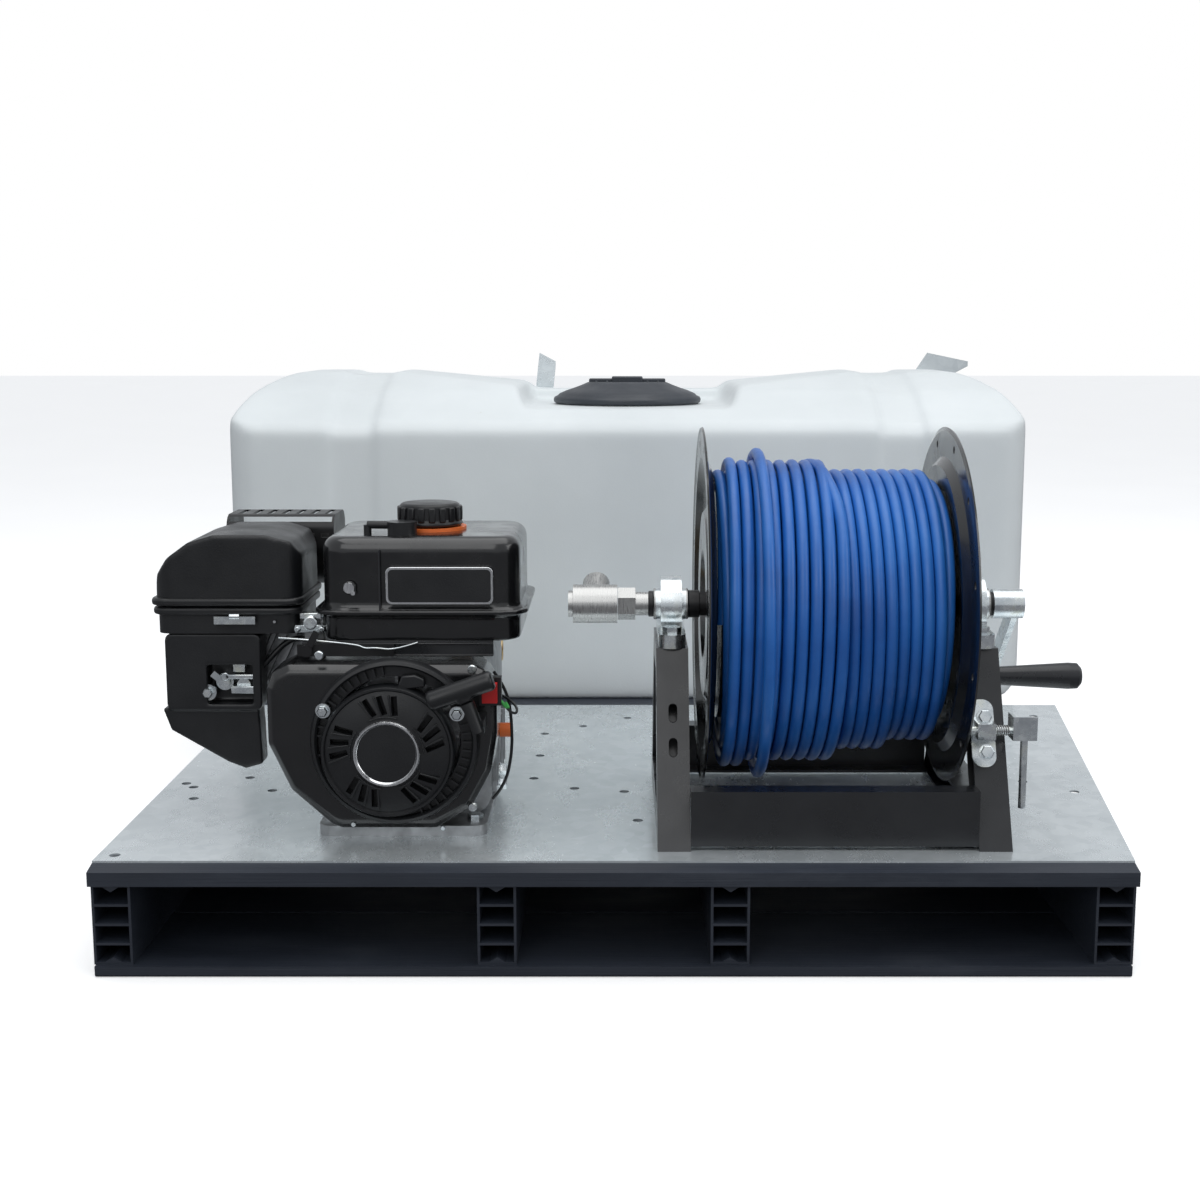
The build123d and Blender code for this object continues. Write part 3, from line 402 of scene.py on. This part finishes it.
def tube(name, points, radius, slot, body="frame", resolution=6):
    curve = bpy.data.curves.new(name, "CURVE")
    curve.dimensions = "3D"
    spline = curve.splines.new("NURBS")
    spline.points.add(len(points) - 1)
    for point, place in zip(spline.points, points):
        point.co = (*(Vector(place) * MM), 1)
    spline.order_u = 3
    spline.use_endpoint_u = True
    spline.resolution_u = resolution
    curve.bevel_depth = radius * MM
    curve.bevel_resolution = 4
    curve.use_fill_caps = True
    obj = bpy.data.objects.new(name, curve)
    scene.collection.objects.link(obj)
    obj.data.materials.append(materials[slot])
    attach(obj, body)
    return obj


def softened(node, name, slot, body, voxel, rounds):
    # A moulded copy of a CAD shell: every hard edge melts into a radius.
    obj = bpy.data.objects.new(name, nodes[node].data.copy())
    scene.collection.objects.link(obj)
    remesh = obj.modifiers.new("voxels", "REMESH")
    remesh.mode = "VOXEL"
    remesh.voxel_size = voxel * MM
    smooth = obj.modifiers.new("melt", "SMOOTH")
    smooth.factor = 0.6
    smooth.iterations = rounds
    depsgraph = bpy.context.evaluated_depsgraph_get()
    mesh = bpy.data.meshes.new_from_object(obj.evaluated_get(depsgraph))
    obj.modifiers.clear()
    obj.data = mesh
    finish_piece(obj, slot, body)
    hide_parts(node)
    return obj


# ---------- hard CAD parts: small radii on their edges ----------
EDGE_RADIUS = {
    "pallet_top_boards": 1.5, "pallet_bottom_boards": 1.0, "reel_side_left": 1.6, "reel_side_right": 1.6,
    "reel_beam_front": 1.2, "reel_beam_rear": 1.2, "pillow_block_left": 2.0, "pillow_block_right": 2.0,
    "crank_arm": 0.8, "swivel_body": 1.2, "swivel_nut": 0.8, "lock_bracket": 0.8, "lock_pin": 0.6,
    "muffler_shield": 1.0, "muffler": 1.5, "pump_body": 2.0, "pump_manifold": 2.0, "unloader": 1.0,
    "switch_box": 1.5, "stop_switch": 0.8, "crankcase": 1.5, "cylinder_head": 0.5, "fuel_cap": 1.5,
    "carburettor": 1.2, "oil_dipstick": 1.2, "tank_outlet": 1.0, "air_cleaner_base": 1.5, "cover_latch": 0.8,
}
for node, radius in EDGE_RADIUS.items():
    bevelled(nodes[node], radius)
for node in nodes.values():
    for polygon in node.data.polygons:
        polygon.use_smooth = True
    sharp_smooth(node)


# ---------- water tank ----------
softened("water_tank", "tank_shell", "tank_plastic", "frame", 5.0, 10)


# ---------- hose on the drum ----------
REEL_Y = -408.0
REEL_Z = 335.5
HOSE_D = 12.0
POINTS_PER_TURN = 16
CONTROL_SCALE = 1 / 0.981
# start x, end x, radius of the hose's centre, extra hang under the drum, turns
WINDS = (
    (108.0, 333.0, 126.4, 0.0, 18.2),
    (333.0, 288.0, 136.7, 1.5, 3.55),
    (288.0, 108.0, 136.7, 11.0, 14.65),
    (110.0, 124.0, 149.0, 23.0, 1.15),
    (131.0, 226.0, 147.0, 13.0, 7.7),
    (226.0, 143.0, 160.0, 18.0, 0.56),
    (143.0, 149.0, 158.5, 27.0, 0.86),
)


def hose_route():
    # Two full layers, a third over the left half, and two turns that hang loose.
    route = []
    turn = 0.0
    step = 2 * math.pi / POINTS_PER_TURN
    previous = WINDS[0][2:4]
    for start, end, radius, sag, turns in WINDS:
        count = round(turns * POINTS_PER_TURN)
        if route:
            start = route[-1][0] + (end - route[-1][0]) / (count + 1)
        for index in range(count):
            share = index / count
            ease = min(1.0, index / (0.6 * POINTS_PER_TURN))
            ease = ease * ease * (3 - 2 * ease)
            ripple = 0.5 * math.sin(index * 0.9) * math.sin(index * 0.13)
            here = previous[0] + (radius - previous[0]) * ease + ripple
            hang = previous[1] + (sag - previous[1]) * ease
            reach = (here + hang * (1 - math.sin(turn)) / 2) * CONTROL_SCALE
            x = start + (end - start) * share
            route.append((x, REEL_Y - reach * math.cos(turn), REEL_Z + reach * math.sin(turn)))
            turn += step
        previous = (radius, sag)
    return route


route = hose_route()
hose = tube("hose", route, HOSE_D / 2, "hose_jacket", "reel_drum", resolution=4)
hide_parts("hose_winding")


def hose_length():
    total = 0.0
    copy = hose.data.copy()
    copy.bevel_depth = 0.0
    line = bpy.data.objects.new("measure", copy)
    mesh = bpy.data.meshes.new_from_object(line)
    for edge in mesh.edges:
        a, b = (mesh.vertices[i].co for i in edge.vertices)
        total += (a - b).length
    bpy.data.objects.remove(line)
    return total


def hose_end_fitting():
    # Crimped ferrule with a hex nipple, in line with the hose's last run.
    end = Vector(route[-1])
    axis = (end - Vector(route[-2])).normalized()
    bm = bmesh.new()
    ferrule = [(0, -2), (8.2, -2), (8.6, 0), (8.6, 5), (8.0, 6), (8.6, 7), (8.6, 12), (8.0, 13)]
    ferrule += [(8.6, 14), (8.6, 22), (7.0, 24), (7.0, 27), (0, 27)]
    nut = [(0, 27), (9.8, 27), (9.8, 35), (8.8, 36), (0, 36)]
    nipple = [(0, 36), (6.4, 36), (6.4, 46), (5.6, 47), (0, 47)]
    for profile, steps in ((ferrule, 40), (nut, 6), (nipple, 32)):
        lathe(bm, profile, end, axis, steps)
    obj = link_mesh("hose_end_fitting", bm)
    return sharp_smooth(finish_piece(obj, "zinc", "reel_drum"))


fitting = hose_end_fitting()
round(hose_length(), 2)


# ---------- tank lid ----------
def lid_piece():
    low, high, (x, y, _) = box_mm("tank_lid")
    z = low[2]
    top = high[2] - z
    bm = bmesh.new()
    cone = [(98, 2), (98, 0), (107, 0), (109.5, 2), (110, 6), (108.5, 9), (104, 11), (101, 14), (92, 18)]
    cone += [(80, 22), (68, 26.5), (60, top - 9), (57, top - 8), (0, top - 8)]
    lathe(bm, cone, (x, y, z), (0, 0, 1), 96)
    lid = piece("lid_shell", bm, "lid_plastic", "tank_lid", sharp=50)
    bm = bmesh.new()
    block(bm, (x - 57, y - 6, z + 22), (x + 57, y + 6, z + top - 3))
    block(bm, (x - 23, y - 12, z + top - 12), (x + 23, y + 12, z + top))
    for side in (-1, 1):
        for rib in (30, 46):
            block(bm, (x + side * rib - 2, y - 24, z + 20), (x + side * rib + 2, y + 24, z + top - 6))
    piece("lid_bar", bm, "lid_plastic", "tank_lid", edge=1.8)
    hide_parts("tank_lid")


lid_piece()


# ---------- engine: moulded shells ----------
softened("fuel_tank", "fuel_tank_shell", "engine_paint", "frame", 2.2, 7)
softened("air_cleaner_cover", "cleaner_cover_shell", "engine_plastic", "air_cleaner_cover", 1.8, 7)
softened("air_cleaner_case", "cleaner_case_shell", "engine_plastic", "frame", 1.5, 3)
softened("blower_shroud", "blower_shell", "engine_paint", "frame", 1.8, 5)
softened("starter_grip", "starter_grip_shell", "engine_plastic", "starter_grip", 1.0, 9)

FRONT = (0, -1, 0)
RECOIL = (-218.0, -532.0, 218.0)
DOME = (-224.0, -532.0, 210.0)
LOUVRE_GROUPS = (95, 23, -49, -121, 167)


def on_disc(centre, radius, degrees):
    turn = math.radians(degrees)
    return centre[0] + radius * math.cos(turn), centre[2] + radius * math.sin(turn)


def radial_block(bm, centre, radius, degrees, size, lean=0.0):
    # size is (along the radius, depth in y, across); the block stands in front of the plate.
    x, z = on_disc(centre, radius, degrees)
    turn = Matrix.Rotation(math.radians(-degrees - lean), 4, "Y")
    half = Vector(size) / 2
    place = Vector((x, centre[1], z))
    block(bm, place - half, place + half, turn)


def cut_with(obj, cutter):
    boolean = obj.modifiers.new("cut", "BOOLEAN")
    boolean.operation = "DIFFERENCE"
    boolean.solver = "EXACT"
    boolean.object = cutter
    depsgraph = bpy.context.evaluated_depsgraph_get()
    obj.data = bpy.data.meshes.new_from_object(obj.evaluated_get(depsgraph))
    obj.modifiers.clear()
    bpy.data.objects.remove(cutter)


def recoil_piece():
    bm = bmesh.new()
    ring = [(66, 0), (84, 0), (84, 8), (82, 12), (79, 13), (77, 11), (76.5, 4), (66, 4), (66, 0)]
    lathe(bm, ring, RECOIL, FRONT, 96)
    for degrees in list(range(-70, 45, 7)) + list(range(98, 178, 7)) + list(range(-170, -105, 9)):
        radial_block(bm, (RECOIL[0], -538.5, RECOIL[2]), 72.5, degrees, (9, 6, 1.8))
    piece("recoil_rim", bm, "engine_plastic")
    bm = bmesh.new()
    outer = [(66.5, 0), (66.5, 17), (65, 19.5), (63, 19.5), (61.5, 17.5), (50, 20.5), (36, 22.5), (0, 23)]
    inner = [(0, 20), (36, 19.5), (50, 17.5), (61, 14), (63.5, 13), (63.5, 0), (66.5, 0)]
    lathe(bm, outer + inner, DOME, FRONT, 96)
    dome = link_mesh("recoil_dome", bm)
    cuts = bmesh.new()
    ridges = bmesh.new()
    for group in LOUVRE_GROUPS:
        for place in (-15, 0, 15):
            radial_block(cuts, (DOME[0], -552, DOME[2]), 48, group + place, (19, 30, 6.0), 14)
            radial_block(ridges, (DOME[0], -553, DOME[2]), 48, group + place + 5, (21, 3.6, 1.6), 14)
        for place in range(-20, 21, 5):
            radial_block(ridges, (DOME[0], -554.5, DOME[2]), 36.5, group + place, (1.6, 3.0, 3.6))
    cut_with(dome, link_mesh("recoil_cuts", cuts))
    finish_piece(dome, "engine_plastic")
    sharp_smooth(dome)
    piece("recoil_ridges", ridges, "engine_plastic", edge=0.5)
    bm = bmesh.new()
    prism(bm, [(-215, 271), (-186, 275), (-187, 283), (-196, 287), (-209, 286)], -546, -538)
    piece("recoil_rope_cover", bm, "engine_plastic", edge=1.5)
    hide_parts("recoil_cover")


def badge_piece():
    _, high, middle = box_mm("recoil_badge")
    centre = (middle[0], high[1], middle[2])
    bm = bmesh.new()
    border = [(29.0, 0), (32.5, 0), (33.2, 2.5), (32.2, 4.2), (30.6, 4.2), (29.6, 2.8), (29.0, 2.2), (29.0, 0)]
    lathe(bm, border, centre, FRONT, 96)
    ring = piece("badge_ring", bm, "chrome")
    bm = bmesh.new()
    lathe(bm, [(0, 0), (29.6, 0), (29.6, 2.2), (0, 2.6)], centre, FRONT, 64)
    piece("badge_face", bm, "engine_plastic")
    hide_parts("recoil_badge")


def shroud_bolts():
    bm = bmesh.new()
    for x, z in ((-287.5, 250.8), (-155.0, 247.7)):
        disc(bm, (x, -540, z), FRONT, 7.4, 5)
        lathe(bm, [(0, 5), (5.4, 5), (5.4, 9.5), (4.4, 11), (0, 11.4)], (x, -540, z), FRONT, 6)
    for x, z in ((-142.0, 149.0), (-140.5, 290.0), (-292.0, 304.0)):
        disc(bm, (x, -530, z), FRONT, 4.6, 3, 24, 1.2)
    for x, z in ((-262.0, 131.0), (-172.0, 127.0)):
        disc(bm, (x, -531, z), FRONT, 2.6, 2, 20, 0.8)
    for z in (169.0, 154.0):
        hex_bolt(bm, (-120, -462, z), (1, 0, 0), 11, 7, 7.5)
    piece("shroud_bolts", bm, "zinc")


def fuel_tank_details():
    low, high, _ = box_mm("fuel_tank")
    front = low[1]
    bm = bmesh.new()
    prism(bm, rounded((-229, 350), (-121, 388), 6), front - 1.6, front + 1)
    piece("fuel_badge_border", bm, "chrome", edge=0.5)
    bm = bmesh.new()
    prism(bm, rounded((-226.6, 352.4), (-123.4, 385.6), 4.5), front - 2.0, front + 1)
    piece("fuel_badge_face", bm, "engine_plastic")
    bm = bmesh.new()
    disc(bm, (-265.5, front + 1, 367.0), FRONT, 6.6, 3, 32, 2.2)
    disc(bm, (-261.5, front + 1, 362.0), FRONT, 2.8, 4, 20, 1.6)
    piece("fuel_tank_bolt", bm, "chrome")
    bm = bmesh.new()
    block(bm, (-236.2, front - 0.5, 343), (-234.6, front + 3, 405))
    piece("fuel_tank_seam", bm, "frame_paint")
    bm = bmesh.new()
    plan_band(bm, (low[0] - 3, front - 3), (high[0] + 3, high[1] + 3), 26, 339.0, 343.5)
    piece("fuel_tank_rim", bm, "engine_paint", edge=1.2)


def painted_shade_strip():
    # Painted shade: this dark strip across the gap between the blower shroud and the fuel tank stands in for
    # the shade there, not for a real bracket.
    bm = bmesh.new()
    block(bm, (-316, -494, 296), (-122, -491, 312))
    for z in (296, 308):
        block(bm, (-316, -496.5, z), (-122, -491, z + 2))
    piece("painted_shade_strip", bm, "frame_paint", edge=0.8)


def fuel_cap_piece():
    low, high, (x, y, _) = box_mm("fuel_cap")
    z = low[2]
    top = high[2] - z
    bm = bmesh.new()
    skirt = [(24, 0), (33, 0), (34, 2), (34, 4), (32, 6), (31.5, top - 3), (29, top - 0.6), (22, top), (0, top)]
    lathe(bm, skirt, (x, y, z), (0, 0, 1), 72)
    for step in range(18):
        turn = Matrix.Rotation(math.radians(20 * step), 4, "Z")
        place = Vector((x, y, 0)) + turn @ Vector((31.6, 0, 0))
        half = Vector((2.4, 3.4, 0))
        block(bm, place - half + Vector((0, 0, z + 5)), place + half + Vector((0, 0, z + top - 4)), turn)
    cap = piece("fuel_cap_shell", bm, "engine_plastic", "fuel_cap", edge=1.2)
    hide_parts("fuel_cap")


def air_cleaner_details():
    bm = bmesh.new()
    plan_band(bm, (-474.5, -479), (-318.5, -348), 16, 344.5, 352.0)
    piece("cleaner_rim_upper", bm, "engine_plastic", "air_cleaner_cover", edge=2.4)
    bm = bmesh.new()
    plan_band(bm, (-473.0, -477.5), (-320.0, -349), 15, 335.0, 342.5)
    piece("cleaner_rim_lower", bm, "engine_plastic", edge=2.4)
    bm = bmesh.new()
    disc(bm, (-347.0, -474, 328.0), FRONT, 1.8, 2, 16, 0.6)
    piece("cleaner_rivet", bm, "chrome")
    bm = bmesh.new()
    bolt = (-420.0, -462, 252.0)
    disc(bm, bolt, FRONT, 8.5, 4)
    lathe(bm, [(0, 4), (5.6, 4), (5.6, 8), (4.6, 9.5), (0, 9.5)], bolt, FRONT, 6)
    piece("case_bolt", bm, "zinc")


def fuel_valve_details():
    y = box_mm("fuel_valve_body")[0][1]
    bm = bmesh.new()
    block(bm, (-394, y - 6, 273), (-381, y + 4, 282))
    block(bm, (-402, y - 8, 266), (-366, y - 4, 271))
    disc(bm, (-402, y - 8, 268.5), (0, 1, 0), 4.5, 5, 24)
    block(bm, (-372, y - 6, 250), (-366, y, 270))
    block(bm, (-397, y - 5, 250), (-366, y + 4, 258))
    piece("fuel_valve_trim", bm, "zinc", edge=1.0)


def carburettor_details():
    y = box_mm("carburettor")[0][1]
    bm = bmesh.new()
    disc(bm, (-311, y + 2, 326), FRONT, 8.0, 4, 32, 1.5)
    block(bm, (-327, y - 3, 316), (-296, y + 6, 324))
    block(bm, (-322, y - 1, 330), (-300, y + 12, 336))
    for x in (-324, -299):
        disc(bm, (x, y - 3, 320), FRONT, 3.2, 3, 20, 1.0)
    piece("carburettor_trim", bm, "zinc", edge=0.8)


def wires_and_rods():
    # Each is its name, radius, material slot and points.
    runs = (
        ("throttle_link", 1.0, "zinc", [
            (-339, -496, 315), (-318, -500, 314.5), (-258, -500, 309), (-252, -501, 305),
            (-240, -501, 306), (-222, -500, 303), (-198, -499, 311)]),
        ("fuel_line", 3.0, "engine_plastic", [
            (-372, -452, 270), (-358, -450, 285), (-344, -446, 300), (-330, -444, 306), (-316, -442, 304)]),
        ("stop_wire", 1.3, "engine_plastic", [
            (-114, -536, 258), (-109, -538, 256), (-103, -537, 248), (-97, -533, 245), (-96, -528, 250),
            (-105, -518, 257), (-114, -506, 258)]),
        ("earth_wire", 1.6, "green_wire", [
            (-116, -538, 262), (-111, -541, 260), (-107, -539, 253), (-104, -534, 251), (-108, -524, 254)]),
        ("side_wire", 1.6, "engine_plastic", [
            (-121, -505, 282), (-108, -500, 262), (-104, -498, 230), (-104, -496, 195), (-112, -494, 160),
            (-125, -488, 145)]),
    )
    for name, radius, slot, points in runs:
        tube(name, points, radius, slot)


recoil_piece()
badge_piece()
shroud_bolts()
fuel_tank_details()
painted_shade_strip()
fuel_cap_piece()
air_cleaner_details()
fuel_valve_details()
carburettor_details()
wires_and_rods()


# ---------- reel: sleeves and fixings ----------
POST_X = (60.0, 379.0)
BEARING_HALF = 16.0
LOCK_BOLTS = (368.0, -545.5, 227.0)
BRACKET_SLOPE = 0.5


def reel_details():
    bm = bmesh.new()
    for x, length, radius in ((78.5, 12.0, 14.6), (36.5, 5.0, 13.8)):
        disc(bm, (x, REEL_Y, REEL_Z), (1, 0, 0), radius, length, 48)
    piece("shaft_sleeves", bm, "black_oxide", "reel_drum", edge=0.6)
    bm = bmesh.new()
    race = [(13.2, 0), (16.5, 0), (16.5, 1.5), (15.5, 2.4), (13.2, 2.4), (13.2, 0)]
    for x in POST_X:
        for side in (-1, 1):
            lathe(bm, race, (x + side * BEARING_HALF, REEL_Y, REEL_Z), (side, 0, 0), 48)
    piece("bearing_faces", bm, "steel")
    bm = bmesh.new()
    lean = Vector((0, -0.95, 0.31))
    x, y, z = LOCK_BOLTS
    for rise in (16, -16):
        hex_bolt(bm, Vector((x, y + rise * BRACKET_SLOPE, z + rise)), lean, 12, 5, 8.0)
    piece("bracket_bolts", bm, "zinc")


def spring_piece():
    low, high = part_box("lock_spring")
    x0 = low[0] / MM + 1
    x1 = high[0] / MM - 1
    y = (low[1] + high[1]) / 2 / MM
    z = (low[2] + high[2]) / 2 / MM
    steps = 96
    points = []
    for index in range(steps + 1):
        turn = 2 * math.pi * 6 * index / steps
        x = x0 + (x1 - x0) * index / steps
        points.append((x, y + 5.0 * math.cos(turn), z + 5.0 * math.sin(turn)))
    wire = tube("spring_wire", points, 0.55, "steel")
    bpy.context.view_layer.update()
    mesh = bpy.data.meshes.new_from_object(wire.evaluated_get(bpy.context.evaluated_depsgraph_get()))
    bpy.data.objects.remove(wire)
    spring = bpy.data.objects.new("lock_spring_coil", mesh)
    scene.collection.objects.link(spring)
    finish_piece(spring, "steel")
    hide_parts("lock_spring")
    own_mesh(spring)


reel_details()
spring_piece()


# ---------- camera, floor and light ----------
def by_camera_ray(tree, other, seen, output):
    # The surface is one shader to the camera, and another to every other ray.
    ray = tree.nodes.new("ShaderNodeLightPath")
    pick = tree.nodes.new("ShaderNodeMixShader")
    tree.links.new(ray.outputs["Is Camera Ray"], pick.inputs[0])
    tree.links.new(other, pick.inputs[1])
    tree.links.new(seen, pick.inputs[2])
    tree.links.new(pick.outputs[0], output.inputs["Surface"])


def add_floor():
    bpy.ops.mesh.primitive_plane_add(size=30, location=(0, 6, -0.0005))
    floor = bpy.context.object
    floor.name = "floor"
    pale = Shader("floor_pale", 0.0, 0.9)
    pale.colour(pale.ramp(pale.noise(2.0), [(0.3, (0.90, 0.90, 0.90)), (0.7, (0.93, 0.93, 0.93))]))
    pale.set(Emission_Color=(1, 1, 1, 1), Emission_Strength=0.34)
    dim = pale.node("ShaderNodeBsdfDiffuse", Color=(0.22, 0.22, 0.23, 1))
    output = pale.tree.nodes["Material Output"]
    by_camera_ray(pale.tree, dim.outputs[0], pale.bsdf.outputs[0], output)
    floor.data.materials.append(pale.mat)


def add_world():
    world = bpy.data.worlds.new("studio")
    world.use_nodes = True
    tree = world.node_tree
    light = tree.nodes["Background"]
    light.inputs["Color"].default_value = (0.93, 0.96, 1.0, 1)
    light.inputs["Strength"].default_value = 0.62
    seen = tree.nodes.new("ShaderNodeBackground")
    seen.inputs["Color"].default_value = (1.0, 1.0, 1.0, 1)
    by_camera_ray(tree, light.outputs[0], seen.outputs[0], tree.nodes["World Output"])
    scene.world = world


def add_lamps():
    # Each is its name, place, target, size and power.
    lamps = (
        ("sky", (0.2, -0.4, 3.2), (0.0, 0.0, 0.2), 3.4, 54.0),
        ("front", (-0.8, -3.4, 2.4), (0.0, -0.2, 0.25), 2.2, 20.0),
        ("right", (3.2, -1.2, 1.6), (0.0, 0.0, 0.25), 1.8, 18.0),
    )
    for name, place, target, size, power in lamps:
        light = bpy.data.lights.new(name, "AREA")
        light.shape = "SQUARE"
        light.size = size
        light.energy = power
        obj = bpy.data.objects.new(name, light)
        obj.location = place
        obj.rotation_euler = (Vector(target) - Vector(place)).to_track_quat("-Z", "Y").to_euler()
        scene.collection.objects.link(obj)


def add_camera():
    data = bpy.data.cameras.new("camera")
    camera = bpy.data.objects.new("camera", data)
    scene.collection.objects.link(camera)
    data.sensor_width = 36.0
    data.lens = 49.5
    data.shift_x = -0.0167
    data.shift_y = -0.0101
    camera.location = (0.0063, -2.1373, 0.6223)
    camera.rotation_euler = (math.radians(90 - 8.868), 0.0, 0.0)
    scene.camera = camera


add_floor()
add_world()
add_lamps()
add_camera()
scene.view_settings.view_transform = "Standard"
